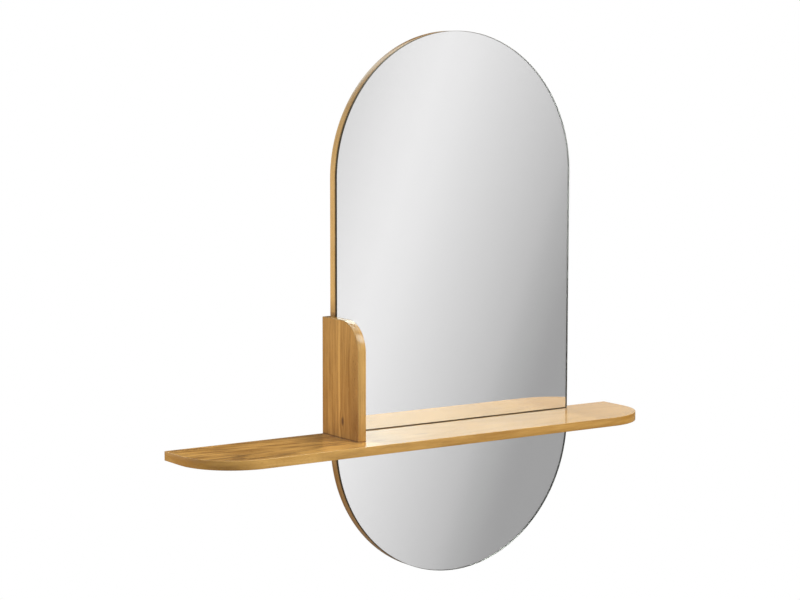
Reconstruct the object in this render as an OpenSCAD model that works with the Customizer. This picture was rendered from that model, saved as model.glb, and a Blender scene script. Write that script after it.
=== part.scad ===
// Wall mirror with an oak shelf that crosses it and an oak divider standing on the shelf.
// X runs to the right along the wall, Y into the wall and Z up.
// The origin is on the wall, behind the middle of the mirror.

/* [Mirror] */
// Width of the mirror and of its back panel
mirror_w = 500; // [460:10:600]
// Height of the mirror and of its back panel
mirror_h = 950; // [850:10:1100]
// Thickness of the veneered back panel
panel_t = 16; // [14:0.5:20]
// Thickness of the foam tape between panel and glass
tape_t = 0.8; // [0.5:0.1:1.5]
// Thickness of the silver coat with its safety film
coat_t = 0.2; // [0.1:0.1:0.4]
// Thickness of the glass
glass_t = 4; // [3:0.5:6]
// Chamfer along the ground edges of the glass
glass_arris = 0.5; // [0.3:0.1:0.8]
// Gap between each pane and the shelf
glass_gap = 0.5; // [0.3:0.1:1]

/* [Shelf] */
// How far the shelf reaches past the left side of the mirror
shelf_left_reach = 319; // [260:1:340]
// How far the shelf reaches past the right side of the mirror
shelf_right_reach = 105; // [101:1:160]
// Distance from the wall to the front of the shelf
shelf_depth = 152.5; // [140:0.5:180]
// Thickness of the shelf
shelf_t = 15.5; // [14:0.5:20]
// Radius of the two front corners
shelf_corner_r = 100; // [60:1:100]
// Height of the underside of the shelf above the foot of the mirror
shelf_rise = 252.5; // [251:0.5:280]
// Gap between the shelf and each side of the back panel
notch_gap = 0.5; // [0.3:0.1:1]

/* [Divider] */
// Height of the divider above the shelf
divider_h = 200; // [160:1:240]
// Distance from the wall to the front edge of the divider
divider_depth = 110; // [100:1:130]
// Thickness of the divider
divider_t = 15.5; // [14:0.5:20]
// Radius of the top front corner
divider_corner_r = 52; // [30:1:70]

/* [Edge bands] */
// Thickness of the oak edge bands
band_t = 1; // [0.5:0.1:1.5]

/* [Shelf fixings] */
// Diameter of the screws from the panel into the shelf
shelf_screw_d = 5; // [4:0.5:6]
// Length of the screws from the panel into the shelf
shelf_screw_l = 50; // [40:1:60]
// Head diameter of the screws from the panel into the shelf
shelf_screw_head_d = 10; // [9:0.5:11]
// Number of screws from the panel into the shelf
shelf_screw_count = 5; // [4:1:6]
// Distance from the side of the mirror to the first screw
shelf_screw_inset = 50; // [40:1:60]
// Diameter of the dowels between panel and shelf
shelf_dowel_d = 8; // [6:0.5:9]
// Length of the dowels between panel and shelf
shelf_dowel_l = 30; // [26:1:40]
// Length of each shelf dowel that sits in the panel
shelf_dowel_in_panel = 10; // [8:0.5:11]

/* [Divider fixings] */
// Diameter of the screws from the shelf into the divider
divider_screw_d = 4; // [3.5:0.5:5]
// Length of the screws from the shelf into the divider
divider_screw_l = 45; // [36:1:50]
// Head diameter of the screws from the shelf into the divider
divider_screw_head_d = 8; // [7.5:0.5:9]
// Distance from the wall to the first of these screws
divider_screw_setback = 30; // [26:1:40]
// Distance between the two screws
divider_screw_spacing = 50; // [30:1:52]
// Diameter of the dowels between divider and panel
divider_dowel_d = 6; // [5:0.5:7]
// Length of the dowels between divider and panel
divider_dowel_l = 28; // [24:1:34]
// Length of each divider dowel that sits in the divider
divider_dowel_in_divider = 9; // [7:0.5:11]
// Distance between the two divider dowels
divider_dowel_spacing = 100; // [60:1:120]

/* [Hangers] */
// Distance between the two keyhole plates
hanger_spacing = 300; // [240:1:320]
// Distance from the top of the mirror down to the keyhole entries
hanger_drop = 175; // [155:1:260]
// Width of a keyhole plate
hanger_w = 20; // [19:0.5:26]
// Length of a keyhole plate
hanger_l = 60; // [60:1:76]
// Thickness of a keyhole plate
hanger_t = 2; // [1.9:0.1:3]
// Diameter of the keyhole entry
keyhole_d = 10; // [9:0.5:11]
// Width of the keyhole slot
keyhole_slot_w = 5; // [4:0.5:6]
// Rise from the keyhole entry to the seat of the slot
keyhole_rise = 12; // [10:0.5:14]
// Depth of the hollow behind a plate for the head of the wall screw
keyhole_hollow = 7; // [5:0.5:8]
// Room round the keyhole in the hollow behind it
keyhole_room = 1.5; // [1:0.5:2.5]
// Diameter of the screws of a keyhole plate
hanger_screw_d = 3.5; // [3:0.5:4]
// Length of the screws of a keyhole plate
hanger_screw_l = 12; // [8:1:13]
// Head diameter of the screws of a keyhole plate
hanger_screw_head_d = 7; // [6.5:0.5:7.5]
// Distance between the two screws of a keyhole plate
hanger_screw_spacing = 44; // [42:1:48]

/* [Foam tape] */
// Number of strips behind each pane
tape_count = 4; // [3:1:6]
// Width of a strip
tape_w = 25; // [15:1:30]
// Distance from the side of the mirror to the first strip
tape_side_inset = 40; // [35:1:60]
// Distance from the end of a strip to the edge of the pane
tape_end_inset = 30; // [10:1:30]

/* [Hidden] */
$fn = 96;

// Slack and tool allowances
over = 1; // how far a cutter runs past the face that it cuts
dowel_end_room = 1; // glue room at each end of a dowel
dowel_chamfer = 1;
recess_depth = 0.45; // depth of the cross recess, as a share of the head
recess_width = 0.16;
recess_span = 0.6;

// Mirror
mirror_r = mirror_w / 2;
straight_h = mirror_h - mirror_w;
coat_back = panel_t + tape_t;
glass_back = coat_back + coat_t;

// Shelf
shelf_bottom = shelf_rise - mirror_h / 2;
shelf_top = shelf_bottom + shelf_t;
shelf_middle = shelf_bottom + shelf_t / 2;
shelf_left = -mirror_r - shelf_left_reach;
shelf_right = mirror_r + shelf_right_reach;
shelf_l = shelf_right - shelf_left;

// Divider
divider_right = -mirror_r;
divider_middle = divider_right - divider_t / 2;

// Rows of fixings
shelf_screw_xs = row(shelf_screw_count, (mirror_w - 2 * shelf_screw_inset) / (shelf_screw_count - 1));
shelf_dowel_xs = between(shelf_screw_xs);
divider_screw_ys = [-divider_screw_setback, -divider_screw_setback - divider_screw_spacing];
divider_dowel_zs = [for (z = row(2, divider_dowel_spacing)) shelf_top + divider_h / 2 + z];
hanger_middle = mirror_h / 2 - hanger_drop + keyhole_rise / 2;

oak = [0.80, 0.62, 0.38];
oak_end = [0.72, 0.54, 0.31];
steel = [0.72, 0.72, 0.74];
beech = [0.87, 0.74, 0.55];

// Positions of count items, pitch apart, round zero
function row(count, pitch) = [for (i = [0:count - 1]) (i - (count - 1) / 2) * pitch];

// Points half way between neighbours in a list
function between(xs) = [for (i = [0:len(xs) - 2]) (xs[i] + xs[i + 1]) / 2];

// Half the height of the mirror at x, with its edge drawn in by inset
function half_height(x, inset) = straight_h / 2 + sqrt(pow(mirror_r - inset, 2) - pow(x, 2));

// Stands a flat outline up as a slab, its back face at a distance from the wall
module slab(back, t) {
    translate([0, -back, 0])
        rotate([90, 0, 0])
            linear_extrude(t)
                children();
}

// Upright outline with round ends, straight between them for a length
module pill(r, straight) {
    square([2 * r, straight], center = true);
    for (side = [-1, 1])
        translate([0, side * straight / 2])
            circle(r);
}

// The waste outside a round corner, from the centre of its arc
module corner_waste(r) {
    difference() {
        square(r + over);
        circle(r);
    }
}

// Slab with round ends, its two rims chamfered
module arrised_pill(r, straight, t, chamfer) {
    for (side = [-1, 1])
        translate([0, 0, side * straight / 2])
            rotate([90, 0, 0])
                arrised_disc(r, t, chamfer);
    translate([0, 0, -straight / 2])
        linear_extrude(straight)
            mirror([0, 1])
                arrised_section(r, t, chamfer);
}

module arrised_disc(r, t, chamfer) {
    cylinder(h = chamfer, r1 = r - chamfer, r2 = r);
    translate([0, 0, chamfer])
        cylinder(h = t - 2 * chamfer, r = r);
    translate([0, 0, t - chamfer])
        cylinder(h = chamfer, r1 = r, r2 = r - chamfer);
}

module arrised_section(r, t, chamfer) {
    polygon([
        [-r + chamfer, 0],
        [r - chamfer, 0],
        [r, chamfer],
        [r, t - chamfer],
        [r - chamfer, t],
        [-r + chamfer, t],
        [-r, t - chamfer],
        [-r, chamfer],
    ]);
}

// One pane: the part of the glass on one side of the shelf, from start upwards or downwards
module pane(start, direction) {
    translate([0, -glass_back, 0])
        intersection() {
            arrised_pill(mirror_r, straight_h, glass_t, glass_arris);
            translate([-mirror_r - over, 0, start])
                rotate([90, 0, 90])
                    linear_extrude(mirror_w + 2 * over)
                        polygon([
                            [0, direction * glass_arris],
                            [-glass_arris, 0],
                            [glass_arris - glass_t, 0],
                            [-glass_t, direction * glass_arris],
                            [-glass_t, direction * mirror_h],
                            [0, direction * mirror_h],
                        ]);
        }
}

// The coat on the back of one pane, inside its chamfers
module coat(start, direction) {
    slab(coat_back, coat_t)
        intersection() {
            pill(mirror_r - glass_arris, straight_h);
            translate([-mirror_r, start + (direction > 0 ? glass_arris : -glass_arris - mirror_h)])
                square([mirror_w, mirror_h]);
        }
}

// Upright strips of tape behind one pane, following its round end
module tape_strips(start, direction) {
    xs = row(tape_count, (mirror_w - 2 * tape_side_inset - tape_w) / (tape_count - 1));
    slab(panel_t, tape_t)
        for (x = xs) {
            reach = half_height(abs(x) + tape_w / 2, tape_end_inset);
            from = start + direction * tape_end_inset;
            length = reach - direction * from;
            translate([x - tape_w / 2, direction > 0 ? from : -reach])
                square([tape_w, length]);
        }
}

// Plan of the shelf with its notch for the back panel, drawn in at the front and the ends
module shelf_plan(inset) {
    difference() {
        translate([shelf_left + inset, inset - shelf_depth])
            square([shelf_l - 2 * inset, shelf_depth - inset]);
        translate([shelf_right - shelf_corner_r, shelf_corner_r - shelf_depth])
            mirror([0, 1])
                corner_waste(shelf_corner_r - inset);
        translate([shelf_left + shelf_corner_r, shelf_corner_r - shelf_depth])
            rotate(180)
                corner_waste(shelf_corner_r - inset);
        translate([-mirror_r - notch_gap, -panel_t])
            square([mirror_w + 2 * notch_gap, panel_t + over]);
    }
}

// Side view of the divider, drawn in at the front and the top: first depth, then height
module divider_side(inset) {
    difference() {
        square([divider_depth - inset, divider_h - inset]);
        translate([divider_depth - divider_corner_r, divider_h - divider_corner_r])
            corner_waste(divider_corner_r - inset);
    }
}

// Turns the side view of the divider into a board
module stand_divider() {
    translate([divider_right, 0, shelf_top])
        rotate([90, 0, -90])
            linear_extrude(divider_t)
                children();
}

// Countersunk screw with its head in the plane z = 0 and its point upwards
module screw_body(d, l, head_d) {
    cylinder(h = (head_d - d) / 2, d1 = head_d, d2 = d);
    cylinder(h = l - d, d = d);
    translate([0, 0, l - d])
        cylinder(h = d, d1 = d, d2 = d / 4);
}

module screw(d, l, head_d) {
    recess = recess_depth * (head_d - d);
    difference() {
        screw_body(d, l, head_d);
        for (turn = [0, 90])
            rotate(turn)
                translate([-recess_span * head_d / 2, -recess_width * head_d / 2, -over])
                    cube([recess_span * head_d, recess_width * head_d, recess + over]);
    }
}

// Dowel along z from zero
module dowel(d, l) {
    cylinder(h = dowel_chamfer, d1 = d - 2 * dowel_chamfer, d2 = d);
    translate([0, 0, dowel_chamfer])
        cylinder(h = l - 2 * dowel_chamfer, d = d);
    translate([0, 0, l - dowel_chamfer])
        cylinder(h = dowel_chamfer, d1 = d, d2 = d - 2 * dowel_chamfer);
}

// Hole for a dowel along z from zero, with glue room at both ends
module dowel_hole(d, l) {
    translate([0, 0, -dowel_end_room])
        cylinder(h = l + 2 * dowel_end_room, d = d);
}

// Places of the fixings: each one runs along its own z
module at_shelf_screws() {
    for (x = shelf_screw_xs)
        translate([x, 0, shelf_middle])
            rotate([90, 0, 0])
                children();
}

module at_shelf_dowels() {
    for (x = shelf_dowel_xs)
        translate([x, shelf_dowel_in_panel - panel_t, shelf_middle])
            rotate([90, 0, 0])
                children();
}

module at_divider_screws() {
    for (y = divider_screw_ys)
        translate([divider_middle, y, shelf_bottom])
            children();
}

module at_divider_dowels() {
    for (z = divider_dowel_zs)
        translate([divider_right - divider_dowel_in_divider, -panel_t / 2, z])
            rotate([0, 90, 0])
                children();
}

module at_hanger(side) {
    translate([side * hanger_spacing / 2, 0, hanger_middle])
        children();
}

module at_hanger_screws(side) {
    at_hanger(side)
        for (z = row(2, hanger_screw_spacing))
            translate([0, 0, z])
                rotate([90, 0, 0])
                    children();
}

// Keyhole: a round entry below a slot with a round seat
module keyhole() {
    translate([0, -keyhole_rise / 2])
        circle(d = keyhole_d);
    translate([-keyhole_slot_w / 2, -keyhole_rise / 2])
        square([keyhole_slot_w, keyhole_rise]);
    translate([0, keyhole_rise / 2])
        circle(d = keyhole_slot_w);
}

module hanger_plate(side) {
    difference() {
        at_hanger(side)
            slab(0, hanger_t)
                difference() {
                    pill(hanger_w / 2, hanger_l - hanger_w);
                    keyhole();
                }
        at_hanger_screws(side)
            screw_body(hanger_screw_d, hanger_screw_l, hanger_screw_head_d);
    }
}

// Recess for a keyhole plate and the hollow behind it
module hanger_pocket(side) {
    at_hanger(side) {
        slab(-over, hanger_t + over)
            pill(hanger_w / 2, hanger_l - hanger_w);
        slab(hanger_t, keyhole_hollow)
            pill(keyhole_d / 2 + keyhole_room, keyhole_rise);
    }
    at_hanger_screws(side)
        screw_body(hanger_screw_d, hanger_screw_l, hanger_screw_head_d);
}

module back_panel() {
    color(oak_end)
        difference() {
            slab(0, panel_t)
                pill(mirror_r - band_t, straight_h);
            at_shelf_screws()
                screw_body(shelf_screw_d, shelf_screw_l, shelf_screw_head_d);
            at_shelf_dowels()
                dowel_hole(shelf_dowel_d, shelf_dowel_l);
            at_divider_dowels()
                dowel_hole(divider_dowel_d, divider_dowel_l);
            for (side = [-1, 1])
                hanger_pocket(side);
        }
}

module panel_edge_band() {
    color(oak)
        difference() {
            slab(0, panel_t)
                difference() {
                    pill(mirror_r, straight_h);
                    pill(mirror_r - band_t, straight_h);
                }
            at_divider_dowels()
                dowel_hole(divider_dowel_d, divider_dowel_l);
        }
}

module upper_glass() {
    color([0.78, 0.86, 0.84, 0.5])
        pane(shelf_top + glass_gap, 1);
}

module lower_glass() {
    color([0.78, 0.86, 0.84, 0.5])
        pane(shelf_bottom - glass_gap, -1);
}

module upper_silvering() {
    color("lightgray")
        coat(shelf_top + glass_gap, 1);
}

module lower_silvering() {
    color("lightgray")
        coat(shelf_bottom - glass_gap, -1);
}

module upper_foam_tape() {
    color("dimgray")
        tape_strips(shelf_top, 1);
}

module lower_foam_tape() {
    color("dimgray")
        tape_strips(shelf_bottom, -1);
}

module shelf_board() {
    color(oak)
        difference() {
            translate([0, 0, shelf_bottom])
                linear_extrude(shelf_t)
                    shelf_plan(band_t);
            at_shelf_screws()
                screw_body(shelf_screw_d, shelf_screw_l, shelf_screw_head_d);
            at_shelf_dowels()
                dowel_hole(shelf_dowel_d, shelf_dowel_l);
            at_divider_screws()
                screw_body(divider_screw_d, divider_screw_l, divider_screw_head_d);
        }
}

module shelf_edge_band() {
    color(oak_end)
        translate([0, 0, shelf_bottom])
            linear_extrude(shelf_t)
                difference() {
                    shelf_plan(0);
                    shelf_plan(band_t);
                }
}

module divider_board() {
    color(oak)
        difference() {
            stand_divider()
                divider_side(band_t);
            at_divider_screws()
                screw_body(divider_screw_d, divider_screw_l, divider_screw_head_d);
            at_divider_dowels()
                dowel_hole(divider_dowel_d, divider_dowel_l);
        }
}

module divider_edge_band() {
    color(oak_end)
        stand_divider()
            difference() {
                divider_side(0);
                divider_side(band_t);
            }
}

module shelf_dowels() {
    color(beech)
        at_shelf_dowels()
            dowel(shelf_dowel_d, shelf_dowel_l);
}

module shelf_screws() {
    color(steel)
        at_shelf_screws()
            screw(shelf_screw_d, shelf_screw_l, shelf_screw_head_d);
}

module divider_dowels() {
    color(beech)
        at_divider_dowels()
            dowel(divider_dowel_d, divider_dowel_l);
}

module divider_screws() {
    color(steel)
        at_divider_screws()
            screw(divider_screw_d, divider_screw_l, divider_screw_head_d);
}

module left_hanger_plate() {
    color(steel)
        hanger_plate(-1);
}

module right_hanger_plate() {
    color(steel)
        hanger_plate(1);
}

module hanger_screws() {
    color(steel)
        for (side = [-1, 1])
            at_hanger_screws(side)
                screw(hanger_screw_d, hanger_screw_l, hanger_screw_head_d);
}

back_panel();
panel_edge_band();
upper_glass();
lower_glass();
upper_silvering();
lower_silvering();
upper_foam_tape();
lower_foam_tape();
shelf_board();
shelf_edge_band();
divider_board();
divider_edge_band();
shelf_dowels();
shelf_screws();
divider_dowels();
divider_screws();
left_hanger_plate();
right_hanger_plate();
hanger_screws();
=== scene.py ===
import math

import bmesh
import bpy
from mathutils import Matrix, Vector


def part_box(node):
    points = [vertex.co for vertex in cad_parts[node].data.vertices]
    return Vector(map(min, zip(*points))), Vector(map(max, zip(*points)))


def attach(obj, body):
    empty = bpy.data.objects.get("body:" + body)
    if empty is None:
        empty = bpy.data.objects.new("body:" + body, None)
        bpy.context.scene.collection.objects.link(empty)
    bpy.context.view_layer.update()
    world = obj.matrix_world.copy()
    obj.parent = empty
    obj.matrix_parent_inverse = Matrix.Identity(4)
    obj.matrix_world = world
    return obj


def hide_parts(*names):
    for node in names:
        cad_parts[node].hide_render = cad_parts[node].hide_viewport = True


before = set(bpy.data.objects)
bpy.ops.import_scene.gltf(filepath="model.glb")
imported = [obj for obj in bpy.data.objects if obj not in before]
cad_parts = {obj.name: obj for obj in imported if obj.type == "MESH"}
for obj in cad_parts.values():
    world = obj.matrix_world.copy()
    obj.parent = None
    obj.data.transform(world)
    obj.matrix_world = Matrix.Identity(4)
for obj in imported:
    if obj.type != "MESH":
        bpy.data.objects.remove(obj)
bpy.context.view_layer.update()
scene = bpy.context.scene
scene.view_settings.view_transform = "Standard"
print("frame loaded:", len(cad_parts), "nodes")

# The sizes of the frame that the pieces below are fitted to
glassLow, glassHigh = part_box("upper_glass")
lowerGlassLow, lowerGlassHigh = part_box("lower_glass")
panelBandLow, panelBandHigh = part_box("panel_edge_band")
shelfLow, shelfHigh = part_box("shelf_edge_band")
dividerLow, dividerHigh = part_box("divider_edge_band")
mirrorR = (glassHigh.x - glassLow.x) / 2
archZ = panelBandHigh.z - mirrorR
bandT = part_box("shelf_board")[0].x - shelfLow.x  # thickness of the edge bands
bandSmooth, paneSmooth = 32, 15  # corners sharper than this, in degrees, stay sharp
weldGap = 1e-6  # corners closer than this are one


def deselectAll():
    if bpy.context.object and bpy.context.object.mode != "OBJECT":
        bpy.ops.object.mode_set(mode="OBJECT")
    bpy.ops.object.select_all(action="DESELECT")


def pick(piece, kind, test):
    # in edit mode: selects only the faces or edges that pass the test
    bpy.ops.mesh.select_mode(type=kind)
    bpy.ops.mesh.select_all(action="DESELECT")
    mesh = bmesh.from_edit_mesh(piece.data)
    for part in mesh.faces if kind == "FACE" else mesh.edges:
        if test(part):
            part.select_set(True)
    bmesh.update_edit_mesh(piece.data)


def isFlatEdge(edge, axis):
    # both ends at the same place along an axis
    return abs(edge.verts[0].co[axis] - edge.verts[1].co[axis]) < weldGap


def weld():
    bpy.ops.mesh.select_all(action="SELECT")
    bpy.ops.mesh.remove_doubles(threshold=weldGap)


def startBand(name, middle, size, rotation=(0, 0, 0)):
    # the cross-section of a band, ready to be extruded along its way
    deselectAll()
    bpy.ops.mesh.primitive_plane_add(size=1, location=middle, rotation=rotation)
    band = bpy.context.object
    band.name = band.data.name = name
    band.scale = (size[0], size[1], 1)
    bpy.ops.object.transform_apply(location=True, rotation=True, scale=True)
    bpy.ops.object.mode_set(mode="EDIT")
    bpy.ops.mesh.select_mode(type="FACE")
    bpy.ops.mesh.select_all(action="SELECT")
    return band


def runStraight(way):
    bpy.ops.mesh.extrude_region_move(TRANSFORM_OT_translate={"value": way})


def runRound(centre, axis, degrees, steps):
    bpy.ops.mesh.spin(steps=steps, angle=math.radians(degrees), center=centre, axis=axis)


def easeArrises(band, axis, isOuter, s):
    # rounds the two long arrises on the outer side, which keep one place along the axis
    pick(band, "EDGE", lambda e: isFlatEdge(e, axis) and all(isOuter(v.co) for v in e.verts))
    bpy.ops.mesh.bevel(offset=s["ease"], segments=s["segments"], affect="EDGES", profile=0.5)


def finishBand(band, along, across, whole):
    # closes the mesh, then lays a UV map on it in metres: along the band and across it.
    # whole is the length of a ring, or 0 where the band has two ends.
    bpy.ops.mesh.select_mode(type="FACE")
    weld()
    bpy.ops.mesh.normals_make_consistent(inside=False)
    bpy.ops.object.mode_set(mode="OBJECT")
    bpy.ops.object.shade_smooth_by_angle(angle=math.radians(bandSmooth))
    layer = band.data.uv_layers.new(name="alongBand")
    for face in band.data.polygons:
        middle = along(face.center)
        for corner in face.loop_indices:
            place = band.data.vertices[band.data.loops[corner].vertex_index].co
            u = along(place)
            if whole and u - middle > whole / 2:
                u -= whole  # the face that closes the ring
            elif whole and middle - u > whole / 2:
                u += whole
            layer.data[corner].uv = (u, across(place))


panelBandSettings = {"ease": 0.0004, "segments": 3, "steps": 96}


def makePanelBand():
    s = panelBandSettings
    low, high = panelBandLow, panelBandHigh
    middleY, depth = (low.y + high.y) / 2, high.y - low.y
    band = startBand("panelEdgeBand", (bandT / 2 - mirrorR, middleY, 0), (bandT, depth))
    runStraight((0, 0, archZ))
    runRound((0, middleY, archZ), (0, -1, 0), 180, s["steps"])
    runStraight((0, 0, -2 * archZ))
    runRound((0, middleY, -archZ), (0, -1, 0), 180, s["steps"])
    runStraight((0, 0, archZ))
    pick(band, "FACE", lambda f: abs(f.normal.z) > 0.99 and abs(f.calc_center_median().z) < 1e-4)
    bpy.ops.mesh.delete(type="FACE")  # the two ends that meet
    weld()

    def isOuter(place):
        return math.hypot(place.x, max(abs(place.z) - archZ, 0)) > mirrorR - bandT / 2

    easeArrises(band, 1, isOuter, s)
    quarter = archZ + mirrorR * math.pi / 2
    whole = 4 * quarter

    def along(place):
        rise = math.atan2(max(abs(place.z) - archZ, 0), abs(place.x)) * mirrorR
        way = min(abs(place.z), archZ) + rise  # from the middle of the nearer side
        way = way if place.z > 0 else -way
        way = way if place.x < 0 else 2 * quarter - way
        return way % whole

    finishBand(band, along, lambda place: place.y, whole)
    return band


shelfBandSettings = {"cornerR": 0.1, "ease": 0.0005, "segments": 3, "steps": 32}


def makeShelfBand():
    s = shelfBandSettings
    low, high, r = shelfLow, shelfHigh, s["cornerR"]
    middleX, middleZ = (low.x + high.x) / 2, (low.z + high.z) / 2
    sideLength, frontLength = high.y - low.y - r, high.x - low.x - 2 * r
    start = (low.x + bandT / 2, high.y, middleZ)
    band = startBand("shelfEdgeBand", start, (bandT, high.z - low.z), (math.pi / 2, 0, 0))
    runStraight((0, -sideLength, 0))
    runRound((low.x + r, low.y + r, middleZ), (0, 0, -1), 90, s["steps"])
    runStraight((frontLength, 0, 0))
    runRound((high.x - r, low.y + r, middleZ), (0, 0, -1), 90, s["steps"])
    runStraight((0, sideLength, 0))

    def past(place):
        # how far a place is past the centres of the corners, outwards and forwards
        return max(abs(place.x - middleX) - frontLength / 2, 0), max(low.y + r - place.y, 0)

    easeArrises(band, 2, lambda place: math.hypot(*past(place)) > r - bandT / 2, s)
    half = sideLength + r * math.pi / 2 + frontLength / 2

    def along(place):
        outwards, forwards = past(place)
        side = min(high.y - place.y, sideLength)
        bend = math.atan2(forwards, outwards) * r if outwards > 0 else r * math.pi / 2
        front = max(frontLength / 2 - abs(place.x - middleX), 0)
        way = side + bend + front
        return way if place.x < middleX else 2 * half - way

    finishBand(band, along, lambda place: place.z - middleZ, 0)
    return band


dividerBandSettings = {"cornerR": 0.052, "ease": 0.0005, "segments": 3, "steps": 28}


def makeDividerBand():
    s = dividerBandSettings
    low, high, r = dividerLow, dividerHigh, s["cornerR"]
    middleX = (low.x + high.x) / 2
    frontLength, topLength = high.z - low.z - r, high.y - low.y - r
    start = (middleX, low.y + bandT / 2, low.z)
    band = startBand("dividerEdgeBand", start, (high.x - low.x, bandT))
    runStraight((0, 0, frontLength))
    runRound((middleX, low.y + r, high.z - r), (1, 0, 0), 90, s["steps"])
    runStraight((0, topLength, 0))

    def past(place):
        return max(low.y + r - place.y, 0), max(place.z - high.z + r, 0)

    easeArrises(band, 0, lambda place: math.hypot(*past(place)) > r - bandT / 2, s)

    def along(place):
        forwards, upwards = past(place)
        front = min(place.z - low.z, frontLength)
        bend = math.atan2(upwards, forwards) * r if upwards > 0 else 0
        top = max(place.y - low.y - r, 0)
        return front + bend + top

    finishBand(band, along, lambda place: place.x - middleX, 0)
    return band


# The air gap keeps pane and silver apart. What lies within the cut's reach is the cut rim, and what is
# turned further than a flat face is the round rim.
paneSettings = {"arris": 0.0005, "steps": 192, "airGap": 0.00003, "cutReach": 0.0006, "flatFace": 0.97}


def makePane(name, low, high, side):
    # side is 1 for the pane above the shelf and -1 for the one below it
    s = paneSettings
    deselectAll()
    thickness = high.y - low.y - s["airGap"]
    middleY = low.y + thickness / 2
    cut = low.z if side > 0 else high.z
    bpy.ops.mesh.primitive_cylinder_add(
        vertices=s["steps"], radius=mirrorR, depth=thickness,
        location=(0, middleY, side * archZ), rotation=(math.pi / 2, 0, 0),
    )
    pane = bpy.context.object
    pane.name = pane.data.name = name
    bpy.ops.object.transform_apply(location=True, rotation=True, scale=True)
    bpy.ops.object.mode_set(mode="EDIT")
    bpy.ops.mesh.select_all(action="SELECT")
    bpy.ops.mesh.bisect(
        plane_co=(0, middleY, side * archZ), plane_no=(0, 0, side),
        use_fill=True, clear_inner=True,
    )
    pick(pane, "FACE", lambda f: f.normal.z * side < -0.99)
    runStraight((0, 0, cut - side * archZ))
    weld()
    bpy.ops.mesh.normals_make_consistent(inside=False)
    pick(pane, "EDGE", lambda e: isFlatEdge(e, 1) and min(abs(f.normal.y) for f in e.link_faces) < 0.1
         and max(abs(f.normal.y) for f in e.link_faces) > 0.9)
    bpy.ops.mesh.bevel(offset=s["arris"], segments=2, affect="EDGES")
    bpy.ops.object.mode_set(mode="OBJECT")
    bpy.ops.object.shade_smooth_by_angle(angle=math.radians(paneSmooth))
    return pane


panelBand = makePanelBand()
shelfBand = makeShelfBand()
dividerBand = makeDividerBand()
upperPane = makePane("upperPane", glassLow, glassHigh, 1)
lowerPane = makePane("lowerPane", lowerGlassLow, lowerGlassHigh, -1)
print("bands and panes modelled")


def fill(tree, sockets, values):
    # puts a value or a link into each of the sockets named
    for name, value in values.items():
        if isinstance(value, bpy.types.NodeSocket):
            tree.links.new(value, sockets[name])
        else:
            sockets[name].default_value = value


def addNode(tree, kind, inputs=None, **settings):
    # a shader node with its settings, and with a value or a link in each input
    made = tree.nodes.new("ShaderNode" + kind)
    for name, value in settings.items():
        setattr(made, name, value)
    fill(tree, made.inputs, inputs or {})
    return made


def calculate(tree, operation, a, b=0.0, c=0.0, clamp=False):
    return addNode(tree, "Math", {0: a, 1: b, 2: c}, operation=operation, use_clamp=clamp).outputs[0]


def times(tree, a, b):
    return calculate(tree, "MULTIPLY", a, b)


def minus(tree, a, b, clamp=False):
    return calculate(tree, "SUBTRACT", a, b, clamp=clamp)


def centred(tree, value):
    # noise lies round 0.5
    return minus(tree, value, 0.5)


def addShare(tree, value, share, base):
    # a share of the value on top of the base
    return calculate(tree, "MULTIPLY_ADD", value, share, base)


def mixValues(tree, share, a, b):
    return addShare(tree, share, minus(tree, b, a), a)


def spread(tree, value, fromLow, fromHigh, toLow=0.0, toHigh=1.0, kind="LINEAR"):
    return addNode(tree, "MapRange", {
        "Value": value, "From Min": fromLow, "From Max": fromHigh, "To Min": toLow, "To Max": toHigh,
    }, interpolation_type=kind).outputs["Result"]


def fade(tree, value, fromLow, fromHigh, toLow=0.0, toHigh=1.0):
    # a spread with soft ends
    return spread(tree, value, fromLow, fromHigh, toLow, toHigh, "SMOOTHSTEP")


def follow(tree, value, points):
    # a smooth curve through (place, value) points
    result = points[0][1]
    for (here, now), (there, then) in zip(points, points[1:]):
        result = calculate(tree, "ADD", result, fade(tree, value, here, there, 0.0, then - now))
    return result


def blendColors(tree, share, a, b):
    return addNode(tree, "Mix", {0: share, 6: a, 7: b}, data_type="RGBA").outputs[2]


def vectorMath(tree, operation, a, b=(0.0, 0.0, 0.0)):
    made = addNode(tree, "VectorMath", {0: a, 1: b}, operation=operation)
    return made.outputs["Value" if operation in ("DOT_PRODUCT", "LENGTH") else "Vector"]


def axisOf(tree, vector, axis):
    return addNode(tree, "SeparateXYZ", {0: vector}).outputs[axis]


def noise(tree, vector, scale, detail=2.0, roughness=0.5):
    # the scale is in features per metre
    made = addNode(tree, "TexNoise", {
        "Vector": vectorMath(tree, "MULTIPLY", vector, scale), "Scale": 1.0, "Detail": detail,
        "Roughness": roughness,
    })
    return made.outputs["Fac"]


def addBump(tree, height, strength, distance):
    return addNode(tree, "Bump", {"Height": height, "Strength": strength, "Distance": distance}).outputs[0]


def startGroup(name, inputs, outputs):
    tree = bpy.data.node_groups.new(name, "ShaderNodeTree")
    kinds = {float: "NodeSocketFloat", tuple: "NodeSocketColor", None: "NodeSocketVector"}
    for socketName, default in inputs.items():
        kind = kinds[None if default is None else type(default)]
        socket = tree.interface.new_socket(socketName, in_out="INPUT", socket_type=kind)
        if default is not None:
            socket.default_value = default
    for socketName, kind in outputs.items():
        tree.interface.new_socket(socketName, in_out="OUTPUT", socket_type=kind)
    return tree, tree.nodes.new("NodeGroupInput").outputs, tree.nodes.new("NodeGroupOutput").inputs


def addGroup(tree, group, inputs):
    return addNode(tree, "Group", inputs, node_tree=group).outputs


def startMaterial(name):
    material = bpy.data.materials.new(name)
    material.use_nodes = True
    tree = material.node_tree
    return material, tree, tree.nodes["Principled BSDF"]


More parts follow.
